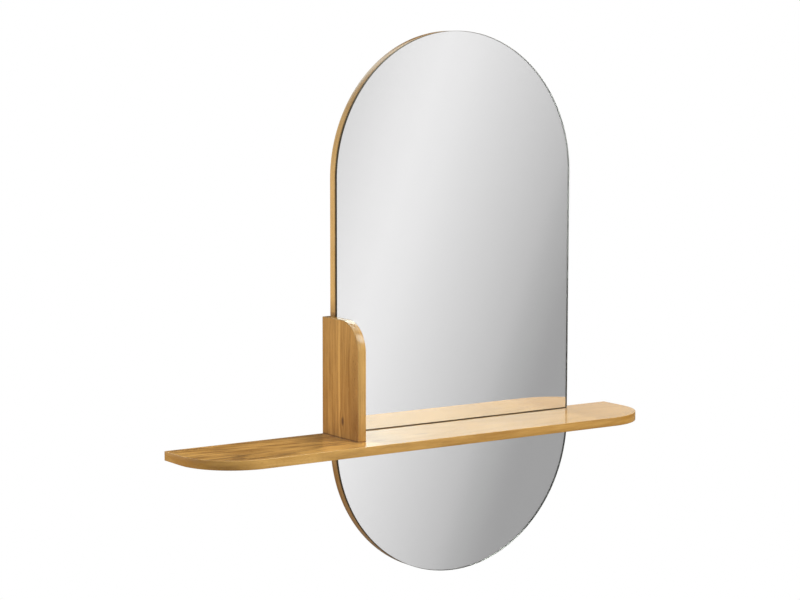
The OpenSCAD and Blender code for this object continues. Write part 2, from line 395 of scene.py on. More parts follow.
def objectCoords(tree, rotation=(0, 0, 0), location=(0, 0, 0)):
    place = addNode(tree, "TexCoord").outputs["Object"]
    return addNode(tree, "Mapping", {"Vector": place, "Rotation": rotation, "Location": location}).outputs[0]


# The noise behind each part of oak's figure, in features per metre along the grain, across it and into
# the board; the noise between which a part begins and shows in full; and its share, in metres for the
# sway of the grain and the waver of the rings
figureNoise = {
    "sway": {"scale": (2.0, 7.0, 7.0), "detail": 3.0},
    "waver": {"scale": (0.8, 24.0, 24.0)},
    "broad": {"scale": (1.3, 13.0, 13.0), "detail": 3.0},
    "mottle": {"scale": (11.0, 66.0, 66.0), "detail": 3.0, "roughness": 0.6},
    "streak": {"scale": (8.0, 110.0, 110.0), "detail": 4.0, "roughness": 0.62},
    "hair": {"scale": (26.0, 950.0, 950.0)},
    "pore": {"scale": (150.0, 2600.0, 2600.0), "detail": 1.0},
    "vessel": {"scale": (15.0, 110.0, 110.0), "detail": 4.0, "roughness": 0.65},
    "bundle": {"scale": (9.0, 30.0, 30.0)},
    "ray": {"scale": (55.0, 430.0, 430.0)},
}
figureLimits = {"pore": (0.6, 0.72), "vessel": (0.5, 0.6), "bundle": (0.4, 0.55), "ray": (0.62, 0.74)}
figureShares = {"sway": 0.022, "waver": 0.006, "streak": 1.5, "hair": 0.35, "pore": 0.55, "ray": 0.3}
figureRoughness = {"plain": 0.36, "pore": 0.2, "streak": 0.12}
hairHeight = 0.3  # against pores of 1
earlyWood = {"start": 0.12, "reach": 0.42, "poresOutside": 0.25}
pinKnots = {"scale": (9.0, 42.0, 42.0), "chosenAbove": 0.6, "core": 0.05, "reach": 0.24}


def makeOakGrain():
    # oak cut through its rings; the vector is in metres with the grain along its x
    tree, given, out = startGroup("oakGrain", {
        "Vector": None, "Light": (0.6, 0.35, 0.13, 1.0), "Dark": (0.3, 0.15, 0.04, 1.0),
        "Pore": (0.12, 0.055, 0.018, 1.0), "Heart Across": 0.0, "Heart Depth": 0.06, "Heart Slope": 0.03,
        "Ring Width": 0.005, "Ring Strength": 0.2, "Broad": 1.2, "Streaks": 1.0, "Mottle": 0.8,
        "Dashes": 0.15, "Knots": 0.5, "Stripe Across": 0.0, "Stripe Width": 0.01, "Stripe Strength": 0.0,
        "Shade": 0.0,
    }, {"Color": "NodeSocketColor", "Roughness": "NodeSocketFloat", "Height": "NodeSocketFloat"})

    place = given["Vector"]
    sway = times(tree, centred(tree, noise(tree, place, **figureNoise["sway"])), figureShares["sway"])
    swayed = vectorMath(tree, "ADD", place, addNode(tree, "CombineXYZ", {"Y": sway}).outputs[0])
    axes = addNode(tree, "SeparateXYZ", {0: swayed}).outputs

    def figured(part):
        return noise(tree, swayed, **figureNoise[part])

    # rings round the tree's heart
    across = minus(tree, axes[1], given["Heart Across"])
    depth = addShare(tree, axes[0], given["Heart Slope"], given["Heart Depth"])
    radius = calculate(tree, "SQRT", addShare(tree, across, across, times(tree, depth, depth)))
    radius = addShare(tree, noise(tree, place, **figureNoise["waver"]), figureShares["waver"], radius)
    ring = calculate(tree, "FRACT", calculate(tree, "DIVIDE", radius, given["Ring Width"]))
    fromEarly = calculate(tree, "PINGPONG", calculate(tree, "ADD", ring, earlyWood["start"]), 0.5)
    early = fade(tree, fromEarly, 0.0, earlyWood["reach"], 1.0, 0.0)

    # the tone, from 0 for dark to 1 for light
    streak, hair = figured("streak"), figured("hair")
    tone = addShare(tree, centred(tree, figured("broad")), given["Broad"], minus(tree, 0.5, given["Shade"]))
    tone = addShare(tree, centred(tree, figured("mottle")), given["Mottle"], tone)
    fromStripe = calculate(tree, "ABSOLUTE", minus(tree, axes[1], given["Stripe Across"]))
    stripe = fade(tree, calculate(tree, "DIVIDE", fromStripe, given["Stripe Width"]), 0.3, 1.0, 1.0, 0.0)
    tone = addShare(tree, stripe, given["Stripe Strength"], tone)
    lines = times(tree, centred(tree, hair), figureShares["hair"])
    lines = addShare(tree, centred(tree, streak), figureShares["streak"], lines)
    tone = addShare(tree, lines, given["Streaks"], tone)
    tone = minus(tree, tone, times(tree, early, given["Ring Strength"]))
    color = blendColors(tree, spread(tree, tone, 0.0, 1.0), given["Dark"], given["Light"])

    # pores: short dark dashes, most of them in the early wood
    pores = spread(tree, figured("pore"), *figureLimits["pore"])
    pores = times(tree, pores, spread(tree, early, 0.0, 1.0, earlyWood["poresOutside"], 1.0))
    color = blendColors(tree, times(tree, pores, figureShares["pore"]), color, given["Pore"])

    # bundles of long dark vessels, gathered where the board is mottled
    vessel = fade(tree, figured("vessel"), *figureLimits["vessel"])
    gathered = fade(tree, figured("bundle"), *figureLimits["bundle"], 0.2, 1.0)
    vessel = times(tree, times(tree, vessel, gathered), given["Dashes"])
    color = blendColors(tree, vessel, color, given["Pore"])

    # rays: short pale flecks
    ray = spread(tree, figured("ray"), *figureLimits["ray"])
    color = blendColors(tree, times(tree, ray, figureShares["ray"]), color, given["Light"])

    # small pin knots, drawn out along the grain
    scaled = vectorMath(tree, "MULTIPLY", swayed, pinKnots["scale"])
    cell = addNode(tree, "TexVoronoi", {"Vector": scaled, "Scale": 1.0}).outputs
    draw = addNode(tree, "SeparateColor", {0: cell["Color"]}).outputs[0]
    chosen = calculate(tree, "GREATER_THAN", draw, pinKnots["chosenAbove"])
    spot = fade(tree, cell["Distance"], pinKnots["core"], pinKnots["reach"], 1.0, 0.0)
    spot = times(tree, times(tree, spot, chosen), given["Knots"])

    rough = addShare(tree, pores, figureRoughness["pore"], figureRoughness["plain"])
    fill(tree, out, {
        "Color": blendColors(tree, spot, color, given["Pore"]),
        "Roughness": addShare(tree, centred(tree, streak), figureRoughness["streak"], rough),
        "Height": minus(tree, times(tree, hair, hairHeight), pores),
    })
    return tree


def makeOakKnotAndShade():
    # one knot, also used for a spot of painted shade: the grain bends round it, and its middle is darker
    tree, given, out = startGroup("oakKnotAndShade", {
        "Vector": None, "At": None, "Length": 0.016, "Width": 0.006, "Strength": 0.6,
    }, {"Aside": "NodeSocketFloat", "Mask": "NodeSocketFloat"})
    offset = vectorMath(tree, "SUBTRACT", given["Vector"], given["At"])
    size = addNode(tree, "CombineXYZ", {"X": given["Length"], "Y": given["Width"], "Z": given["Width"]})
    away = vectorMath(tree, "LENGTH", vectorMath(tree, "DIVIDE", offset, size.outputs[0]))
    pull = fade(tree, away, 0.2, 2.6, 0.85, 0.0)
    core = fade(tree, away, 0.25, 1.0, 1.0, 0.0)
    fill(tree, out, {
        "Aside": times(tree, axisOf(tree, offset, 1), pull),
        "Mask": times(tree, core, given["Strength"]),
    })
    return tree


def makeArrisWear():
    # rubbed arrises: a broken, paler line along both sides of a band
    tree, given, out = startGroup("arrisWear", {
        "Vector": None, "Width": 0.0155, "Reach": 0.0011,
    }, {"Wear": "NodeSocketFloat"})
    fromMiddle = calculate(tree, "ABSOLUTE", axisOf(tree, given["Vector"], 1))
    fromEdge = minus(tree, times(tree, given["Width"], 0.5), fromMiddle)
    near = minus(tree, 1.0, calculate(tree, "DIVIDE", fromEdge, given["Reach"]), clamp=True)
    broken = spread(tree, noise(tree, given["Vector"], (45.0, 300.0, 1.0), 3.0), 0.35, 0.65)
    fill(tree, out, {"Wear": times(tree, near, broken)})
    return tree


def makeHaze():
    # faint hand marks and dust in the gloss
    tree, given, out = startGroup("haze", {
        "Vector": None, "Size": 0.06, "Roughness": 0.3, "Change": 0.06,
    }, {"Roughness": "NodeSocketFloat", "Value": "NodeSocketFloat"})
    cloud = noise(tree, given["Vector"], calculate(tree, "DIVIDE", 1.0, given["Size"]), 5.0, 0.6)
    change = times(tree, centred(tree, cloud), given["Change"])
    fill(tree, out, {"Roughness": calculate(tree, "ADD", given["Roughness"], change), "Value": cloud})
    return tree


def makeBoardCore():
    # pressed fibre board, as a cut edge shows it
    tree, given, out = startGroup("boardCore", {
        "Vector": None, "Light": (0.5, 0.36, 0.22, 1.0), "Dark": (0.3, 0.19, 0.1, 1.0),
    }, {"Color": "NodeSocketColor", "Height": "NodeSocketFloat"})
    fibre = noise(tree, given["Vector"], (900.0, 900.0, 900.0), 3.0, 0.7)
    patch = noise(tree, given["Vector"], (40.0, 40.0, 40.0))
    tone = spread(tree, addShare(tree, centred(tree, patch), 0.6, fibre), 0.25, 0.75)
    fill(tree, out, {"Color": blendColors(tree, tone, given["Dark"], given["Light"]), "Height": fibre})
    return tree


oakGrain = makeOakGrain()
oakKnotAndShade = makeOakKnotAndShade()
arrisWear = makeArrisWear()
haze = makeHaze()
boardCore = makeBoardCore()


def addHaze(tree, place, roughness, size, change):
    return addGroup(tree, haze, {"Vector": place, "Roughness": roughness, "Size": size, "Change": change})


oakFinish = {
    "light": (0.645, 0.345, 0.087, 1.0),
    "dark": (0.335, 0.152, 0.024, 1.0),
    "pore": (0.13, 0.055, 0.012, 1.0),
    "worn": (0.68, 0.46, 0.22, 1.0),
    "wear": 0.22,
    "wornRoughness": 0.15,
    "coat": 0.75,
    "boardGloss": 0.14,
    "bandGloss": 0.18,
    "coreRoughness": 0.8,
    "veneerT": 0.0007,  # thickness of the veneer seen on a cut edge
    # painted shade: a dark line at the foot of the divider, where it stands on the shelf
    "footShadeLine": {"reach": 0.003, "share": 0.9},
    # painted shade: a dark strip along the panel band where it meets the glass
    "glassShadeLine": {"reach": 0.0035, "share": 0.65},
}


def addShadeLine(tree, color, way, start, shadeLine):
    # a line of painted shade: darkest at its start, and gone at the end of its reach
    share = fade(tree, way, start, start + shadeLine["reach"], shadeLine["share"], 0.0)
    return blendColors(tree, share, color, oakFinish["pore"])


def addOak(tree, place, settings):
    # the oak's grain with its knots and its spots of painted shade; each is (place, length, width, strength)
    masks = []
    for at, length, width, strength in settings["knotsAndShadeSpots"]:
        knotAndShadeSpot = addGroup(tree, oakKnotAndShade, {
            "Vector": place, "At": at, "Length": length, "Width": width, "Strength": strength,
        })
        aside = addNode(tree, "CombineXYZ", {"Y": knotAndShadeSpot["Aside"]}).outputs[0]
        place = vectorMath(tree, "SUBTRACT", place, aside)
        masks.append(knotAndShadeSpot["Mask"])
    # "along" lets a value change along the board, by (place, value) points. Its Shade points darken the
    # wood's tone (above 0) and lighten it (below 0): painted shade and painted light, with some of the
    # wood's own tone
    way = axisOf(tree, place, 0)
    changing = {name: follow(tree, way, points) for name, points in settings.get("along", {}).items()}
    grain = addGroup(tree, oakGrain, {
        "Vector": place, "Light": oakFinish["light"], "Dark": oakFinish["dark"], "Pore": oakFinish["pore"],
        **settings["grain"], **changing,
    })
    color = grain["Color"]
    for mask in masks:
        color = blendColors(tree, mask, color, oakFinish["pore"])
    if "footShadeFrom" in settings:
        # painted shade: the piece is darker at its foot, where it stands on the shelf
        height = axisOf(tree, addNode(tree, "TexCoord").outputs["Object"], 2)
        color = addShadeLine(tree, color, height, settings["footShadeFrom"], oakFinish["footShadeLine"])
    return color, grain


def finishOak(tree, shader, color, rough, height, coat, gloss):
    fill(tree, shader.inputs, {
        "Base Color": color, "Roughness": rough, "Normal": addBump(tree, height, 0.25, 0.0002),
        "Specular IOR Level": 0.05, "Coat Weight": coat, "Coat Roughness": gloss,
    })


def makeOak(name, rotation, settings, cutEdge):
    # oak veneer; cutEdge is (axis of the thickness, low, high, does it face +Y) where the core shows
    s = oakFinish
    material, tree, shader = startMaterial(name)
    place = objectCoords(tree, rotation, settings["shift"])
    color, grain = addOak(tree, place, settings)
    rough = addHaze(tree, place, grain["Roughness"], 0.09, 0.1)["Roughness"]

    axis, low, high, facing = cutEdge
    core = addGroup(tree, boardCore, {"Vector": objectCoords(tree)})
    normal = axisOf(tree, addNode(tree, "NewGeometry").outputs["Normal"], 1)
    if facing:
        cut = calculate(tree, "GREATER_THAN", normal, 0.5)
    else:
        cut = calculate(tree, "LESS_THAN", calculate(tree, "ABSOLUTE", normal), 0.5)
    here = axisOf(tree, addNode(tree, "TexCoord").outputs["Object"], axis)
    fromMiddle = calculate(tree, "ABSOLUTE", minus(tree, here, (low + high) / 2))
    inside = calculate(tree, "LESS_THAN", fromMiddle, (high - low) / 2 - s["veneerT"])
    cut = times(tree, cut, inside)
    color = blendColors(tree, cut, color, core["Color"])
    rough = calculate(tree, "MAXIMUM", rough, times(tree, cut, s["coreRoughness"]))
    coat = spread(tree, cut, 0.0, 1.0, s["coat"], 0.0)  # the core is bare
    finishOak(tree, shader, color, rough, grain["Height"], coat, s["boardGloss"])
    return material


def makeBandOak(name, width, settings):
    # oak edge band: the grain follows the band's own UV map, which is in metres
    s = oakFinish
    material, tree, shader = startMaterial(name)
    uv = addNode(tree, "UVMap", uv_map="alongBand").outputs[0]
    place = addNode(tree, "Mapping", {"Vector": uv, "Location": settings["shift"]}).outputs[0]
    color, grain = addOak(tree, place, settings)
    if "glassShadeFrom" in settings:
        # painted shade: the band is darker where it meets the glass
        color = addShadeLine(tree, color, axisOf(tree, uv, 1), settings["glassShadeFrom"], s["glassShadeLine"])
    wear = addGroup(tree, arrisWear, {"Vector": uv, "Width": width})["Wear"]
    color = blendColors(tree, times(tree, wear, s["wear"]), color, s["worn"])
    rough = addShare(tree, wear, s["wornRoughness"], grain["Roughness"])
    finishOak(tree, shader, color, rough, grain["Height"], s["coat"], s["bandGloss"])
    return material


# The two colours that each plain finish lies between
plainColors = {
    "rimOutside": ((0.028, 0.017, 0.006, 1.0), (0.06, 0.04, 0.016, 1.0)),
    "rimInsideAndPaintedLight": ((0.16, 0.155, 0.145, 1.0), (0.93, 0.93, 0.91, 1.0)),
    "cutRim": ((0.04, 0.02, 0.005, 1.0), (0.07, 0.038, 0.01, 1.0)),
    "silver": ((0.93, 0.935, 0.935, 1.0), (0.945, 0.945, 0.945, 1.0)),
    "foam": ((0.05, 0.05, 0.052, 1.0), (0.12, 0.12, 0.125, 1.0)),
    "beech": ((0.56, 0.36, 0.2, 1.0), (0.72, 0.52, 0.33, 1.0)),
    "zinc": ((0.56, 0.58, 0.62, 1.0), (0.74, 0.73, 0.69, 1.0)),
}


def makeGlass():
    material, tree, shader = startMaterial("mirrorGlass")
    fill(tree, shader.inputs, {
        "Base Color": (0.994, 0.991, 0.993, 1.0), "Metallic": 0.0, "Transmission Weight": 1.0, "IOR": 1.52,
        "Roughness": addHaze(tree, objectCoords(tree), 0.01, 0.12, 0.03)["Roughness"],
    })
    return material


def addGroundBump(tree, place):
    return addBump(tree, noise(tree, place, (3000.0, 3000.0, 3000.0)), 0.2, 0.0001)


# Two painted glints, where the arris of the glass is painted pale as if it caught the light: (way, from and
# to along that way, share).
# Seen through the glass the rim has painted light: it is pale where it faces the lit way, and from the lit
# heights upwards.
rimSettings = {
    "paintedGlints": (((0.67, 0.0, 0.74), 0.378, 0.408, 1.0), ((0.407, 0.0, -0.914), 0.444, 0.455, 0.9)),
    "paintedGlintColor": (0.6, 0.6, 0.57, 1.0),
    "facesFront": -0.2,
    "litWay": (-0.7, 0.0, -0.7),
    "litFacing": (0.3, 0.95),
    "litHeights": (-0.12, 0.2),
}


def makeRim():
    # the ground and sealed rim of the glass: dark from outside, with painted glints on its arris; seen
    # through the glass it has painted light, paler toward its upper right
    s = rimSettings
    material, tree, shader = startMaterial("sealedGlassRim")
    place = objectCoords(tree)
    cloud = addHaze(tree, place, 0.35, 0.01, 0.2)
    geometry = addNode(tree, "NewGeometry").outputs
    glintShare = 0.0
    for toward, low, high, share in s["paintedGlints"]:
        here = vectorMath(tree, "DOT_PRODUCT", place, toward)
        glintShare = calculate(tree, "MAXIMUM", glintShare, fade(tree, here, low, high, 0.0, share))

    # painted highlight: the glints show on the outside faces that face the front
    facing = calculate(tree, "LESS_THAN", axisOf(tree, geometry["Normal"], 1), s["facesFront"])
    outside = blendColors(tree, cloud["Value"], *plainColors["rimOutside"])
    outside = blendColors(tree, times(tree, glintShare, facing), outside, s["paintedGlintColor"])

    # painted light: seen through the glass the rim is paler toward its upper right and higher up, and fully
    # pale under a painted glint
    flat = vectorMath(tree, "NORMALIZE", vectorMath(tree, "MULTIPLY", geometry["Normal"], (1.0, 0.0, 1.0)))
    paintedPale = spread(tree, vectorMath(tree, "DOT_PRODUCT", flat, s["litWay"]), *s["litFacing"])
    paintedPale = times(tree, paintedPale, fade(tree, axisOf(tree, place, 2), *s["litHeights"]))
    inside = blendColors(tree, calculate(tree, "MAXIMUM", paintedPale, glintShare), *plainColors["rimInsideAndPaintedLight"])

    fill(tree, shader.inputs, {
        "Base Color": blendColors(tree, geometry["Backfacing"], outside, inside),
        "Roughness": cloud["Roughness"], "Specular IOR Level": 0.2, "Normal": addGroundBump(tree, place),
    })
    return material


def makeCutRim():
    # the straight rims along the shelf, which take the colour of the wood
    material, tree, shader = startMaterial("cutGlassRim")
    place = objectCoords(tree)
    cloud = addHaze(tree, place, 0.45, 0.01, 0.2)
    fill(tree, shader.inputs, {
        "Base Color": blendColors(tree, cloud["Value"], *plainColors["cutRim"]),
        "Roughness": cloud["Roughness"], "Specular IOR Level": 0.1, "Normal": addGroundBump(tree, place),
    })
    return material


def makeSilver():
    material, tree, shader = startMaterial("silverCoat")
    cloud = addHaze(tree, objectCoords(tree), 0.012, 0.2, 0.01)
    color = blendColors(tree, cloud["Value"], *plainColors["silver"])
    fill(tree, shader.inputs, {"Base Color": color, "Roughness": cloud["Roughness"], "Metallic": 1.0})
    return material


def makeFoam():
    material, tree, shader = startMaterial("foamTape")
    cells = addNode(tree, "TexVoronoi", {"Vector": objectCoords(tree), "Scale": 2200.0}).outputs["Distance"]
    fill(tree, shader.inputs, {
        "Base Color": blendColors(tree, cells, *plainColors["foam"]),
        "Roughness": spread(tree, cells, 0.0, 1.0, 0.95, 0.8), "Normal": addBump(tree, cells, 0.5, 0.0002),
    })
    return material


def makeBeech():
    material, tree, shader = startMaterial("beechDowel")
    place = objectCoords(tree)
    lines = noise(tree, place, (300.0, 40.0, 300.0), 3.0)
    flecks = spread(tree, noise(tree, place, (1500.0, 400.0, 1500.0), 1.0), 0.6, 0.7)
    color = blendColors(tree, lines, *plainColors["beech"])
    color = blendColors(tree, times(tree, flecks, 0.5), color, (0.4, 0.22, 0.11, 1.0))
    fill(tree, shader.inputs, {
        "Base Color": color, "Roughness": spread(tree, lines, 0.0, 1.0, 0.65, 0.55),
        "Normal": addBump(tree, lines, 0.3, 0.0002),
    })
    return material


def makeZinc():
    material, tree, shader = startMaterial("zincPlate")
    place = objectCoords(tree)
    cloud = addHaze(tree, place, 0.3, 0.006, 0.16)
    fill(tree, shader.inputs, {
        "Base Color": blendColors(tree, cloud["Value"], *plainColors["zinc"]),
        "Roughness": cloud["Roughness"], "Metallic": 1.0,
        "Normal": addBump(tree, noise(tree, place, (2500.0, 2500.0, 2500.0)), 0.12, 0.0001),
    })
    return material


# Where each board was cut from its tree, how lively its figure is, the knots seen on it, and the painted
# shade and painted light that its Shade points and some of its spots lay on it
shelfTop = shelfHigh.z
dividerFace = 0.0155  # how deep the left face of the divider lies in its grain
shelfOak = {
    "shift": (0, 0, 0),
    "knotsAndShadeSpots": (
        # the first spot is painted shade: a long dark patch along the back edge of the shelf beside the
        # divider
        ((-0.345, -0.004, shelfTop), 0.13, 0.026, 0.45), ((-0.49, -0.105, shelfTop), 0.024, 0.008, 0.5),
        ((-0.52, -0.128, shelfTop), 0.06, 0.012, 0.35), ((-0.375, -0.085, shelfTop), 0.016, 0.007, 0.45),
        ((-0.4, -0.09, shelfTop), 0.01, 0.006, 0.4), ((-0.33, -0.045, shelfTop), 0.014, 0.006, 0.35),
        # these two spots are painted shade: a dark line on the shelf along the foot of the glass
        ((0.0, glassLow.y, shelfTop), 0.26, 0.0035, 0.9), ((0.19, glassLow.y, shelfTop), 0.075, 0.0045, 0.9),
    ),
    "grain": {"Heart Across": -0.085, "Heart Depth": 0.262, "Heart Slope": 0.03, "Ring Width": 0.0042,
              "Knots": 0.3, "Stripe Across": -0.152, "Stripe Width": 0.048},
    "along": {"Stripe Strength": ((-0.42, 0.0), (-0.37, 0.8), (-0.27, 0.8), (-0.2, 0.0)),
              "Mottle": ((-0.3, 2.9), (-0.2, 0.2)), "Streaks": ((-0.28, 1.2), (-0.22, 0.25)),
              "Dashes": ((-0.26, 0.65), (-0.2, 0.03)), "Ring Strength": ((-0.26, 0.45), (-0.2, 0.06)),
              # painted light and shade: lighter in front of the mirror, darker just right of the divider's
              # foot and past the mirror's right end; on the left wing the points follow the wood's tone
              "Shade": ((-0.55, -0.3), (-0.48, -0.1), (-0.42, -0.4), (-0.3, -0.4), (-0.27, -0.6),
                        (-0.23, 0.3), (-0.15, -0.3), (0.0, -0.45), (0.1, -0.25), (0.2, -0.35), (0.24, 0.05)),
              "Broad": ((-0.26, 1.2), (-0.12, 0.5))},
}
dividerOak = {
    "shift": (0.31, 0, -0.25), "footShadeFrom": dividerLow.z,
    "knotsAndShadeSpots": (
        # the second spot is painted shade: the left face darker along its front
        ((0.132, -0.062, dividerFace), 0.011, 0.0055, 0.9), ((0.19, -0.103, dividerFace), 0.12, 0.022, 0.16),
    ),
    "grain": {"Heart Across": -0.3, "Heart Depth": 0.2, "Heart Slope": 0.01, "Ring Width": 0.006,
              "Ring Strength": 0.15, "Streaks": 0.9, "Mottle": 0.3, "Dashes": 0.08, "Knots": 0.0,
              "Stripe Across": -0.051, "Stripe Width": 0.005, "Stripe Strength": 0.6},
    # painted shade: the left face darker towards the shelf
    "along": {"Shade": ((0.1, 0.28), (0.16, 0.28), (0.22, 0.26), (0.29, 0.05))},
}
panelOak = {
    "shift": (0.7, 0, 0),
    "knotsAndShadeSpots": (((0.55, 0.08, 0.0), 0.03, 0.012, 0.5),),
    "grain": {"Heart Across": 0.02, "Heart Depth": 0.07, "Heart Slope": 0.03, "Ring Width": 0.005,
              "Ring Strength": 0.25, "Streaks": 0.8, "Mottle": 0.6, "Knots": 0.3},
}
bandGrain = {"Heart Across": 0.02, "Heart Depth": 0.05, "Heart Slope": 0.01, "Ring Width": 0.004,
             "Ring Strength": 0.15, "Broad": 0.5, "Streaks": 0.8, "Mottle": 0.6, "Knots": 0.1}
shelfBandOak = {
    "shift": (0, 0.02, 0),
    "knotsAndShadeSpots": (((1.085, 0.02, 0), 0.03, 0.03, 0.3),),
    "along": {"Shade": ((0.02, 0.35), (0.06, 0.6), (0.13, 0.05), (0.17, -0.1), (0.2, -0.25), (0.28, -0.4),
                        (0.39, -0.1), (0.72, 0.0), (0.89, 0.2))},
    "grain": {**bandGrain, "Light": (0.68, 0.395, 0.11, 1.0), "Dark": (0.35, 0.165, 0.026, 1.0)},
}
dividerBandOak = {
    "shift": (3, 0.3, 0), "footShadeFrom": dividerLow.z, "knotsAndShadeSpots": (),
    # painted shade: darker at the foot, and over the rounding and top where more light falls on the band
    "along": {"Shade": ((3.0, 0.2), (3.06, -0.08), (3.14, -0.22), (3.158, -0.2), (3.172, 0.3), (3.19, 0.2),
                        (3.21, 0.5))},
    "grain": {**bandGrain, "Light": (0.75, 0.44, 0.135, 1.0), "Dark": (0.3, 0.15, 0.028, 1.0),
              "Ring Strength": 0.09, "Broad": 0.3, "Streaks": 0.5, "Mottle": 0.35},
}
panelBandOak = {
    "shift": (7, 0.6, 0), "knotsAndShadeSpots": (),
    # painted light and shade: lighter along the upper left side, darker over the round ends and just above
    # the shelf, with a deep Dark for the round ends
    "along": {"Shade": ((7.0, -0.1), (7.04, -0.6), (7.2, -0.6), (7.3, -0.1), (7.42, 0.3), (7.52, 0.9),
                        (7.7, 0.9), (8.0, 0.0), (8.9, 0.0), (9.05, 0.8), (9.15, 0.8), (9.26, 0.2),
                        (9.44, 0.2))},
    "grain": {**bandGrain, "Light": (0.68, 0.395, 0.11, 1.0), "Dark": (0.25, 0.115, 0.022, 1.0)},
    "glassShadeFrom": panelBandLow.y,
}

# The CAD nodes keep their meshes and get better finishes
shelfCut = (2, shelfLow.z, shelfHigh.z, True)
dividerCut = (0, dividerLow.x, dividerHigh.x, True)
panelCut = (1, panelBandLow.y, panelBandHigh.y, False)
zincNodes = ("shelf_screws", "divider_screws", "left_hanger_plate", "right_hanger_plate", "hanger_screws")
for finish, nodeNames in (
    (makeOak("shelfOak", (0, 0, 0), shelfOak, shelfCut), ("shelf_board",)),
    (makeOak("dividerOak", (0, math.pi / 2, 0), dividerOak, dividerCut), ("divider_board",)),
    (makeOak("panelOak", (math.pi / 2, 0, math.pi / 2), panelOak, panelCut), ("back_panel",)),
    (makeSilver(), ("upper_silvering", "lower_silvering")),
    (makeFoam(), ("upper_foam_tape", "lower_foam_tape")),
    (makeBeech(), ("shelf_dowels", "divider_dowels")),
    (makeZinc(), zincNodes),
):
    for nodeName in nodeNames:
        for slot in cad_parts[nodeName].material_slots:
            slot.material = finish

for band, name, width, settings in (
    (shelfBand, "shelfBandOak", shelfHigh.z - shelfLow.z, shelfBandOak),
    (dividerBand, "dividerBandOak", dividerHigh.x - dividerLow.x, dividerBandOak),
    (panelBand, "panelBandOak", panelBandHigh.y - panelBandLow.y, panelBandOak),
):
    band.data.materials.append(makeBandOak(name, width, settings))

paneFinishes = (makeGlass(), makeRim(), makeCutRim())
for pane, cutZ in ((upperPane, glassLow.z), (lowerPane, lowerGlassHigh.z)):
    for finish in paneFinishes:
        pane.data.materials.append(finish)
    for face in pane.data.polygons:
        if abs(face.center.z - cutZ) < paneSettings["cutReach"]:
            face.material_index = 2
        elif abs(face.normal.y) < paneSettings["flatFace"]:
            face.material_index = 1
print("materials made")

for piece, nodeName, slotName in (
    (panelBand, "panel_edge_band", "oak_edge_band"),
    (shelfBand, "shelf_edge_band", "oak_edge_band"),
    (dividerBand, "divider_edge_band", "oak_edge_band"),
    (upperPane, "upper_glass", "mirror_glass"),
    (lowerPane, "lower_glass", "mirror_glass"),
):
    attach(piece, "root")
    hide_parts(nodeName)


floorSettings = {
    "z": -1.5,
    "radius": 3.0,
    "fadeFrom": 1.2,
    "fadeTo": 2.6,
    "color": 0.86,
    "change": 0.02,
    "inGloss": 0.12,
    "bounce": 0.4,
}


def gray(value):
    return (value, value, value, 1.0)


def makeFloor():
    s = floorSettings
    deselectAll()
    bpy.ops.mesh.primitive_circle_add(
        vertices=96, radius=s["radius"], fill_type="NGON", location=(0, 0, s["z"]),
    )
    floor = bpy.context.object
    floor.name = "studioFloor"
    bpy.ops.object.transform_apply(location=True, rotation=True, scale=True)
    material, tree, shader = startMaterial("studioFloor")
    place = addNode(tree, "TexCoord").outputs["Object"]
    away = vectorMath(tree, "LENGTH", vectorMath(tree, "MULTIPLY", place, (1.0, 1.0, 0.0)))
    paleness = fade(tree, away, s["fadeFrom"], s["fadeTo"])
    cloth = noise(tree, place, (3.0, 3.0, 3.0), 4.0)
    path = addNode(tree, "LightPath").outputs
    # the camera sees it pale; it is darker in gloss and throws little light back up
    color = blendColors(tree, cloth, gray(s["color"]), gray(s["color"] + s["change"]))
    color = blendColors(tree, path["Is Glossy Ray"], color, gray(s["inGloss"]))
    color = blendColors(tree, path["Is Diffuse Ray"], color, gray(s["bounce"]))
    fill(tree, shader.inputs, {"Base Color": color, "Roughness": 0.8})
    glow = addNode(tree, "Emission", {"Color": gray(1.0), "Strength": 1.0})
    seen = calculate(tree, "ADD", path["Is Camera Ray"], path["Is Transmission Ray"], clamp=True)
    mixed = addNode(tree, "MixShader", {
        0: times(tree, paleness, seen), 1: shader.outputs[0], 2: glow.outputs[0],
    })
    # seen from below it hides nothing
    clear = addNode(tree, "BsdfTransparent")
    below = addNode(tree, "NewGeometry").outputs["Backfacing"]
    mixed = addNode(tree, "MixShader", {0: below, 1: mixed.outputs[0], 2: clear.outputs[0]})
    fill(tree, tree.nodes["Material Output"].inputs, {"Surface": mixed.outputs[0]})
    floor.data.materials.append(material)


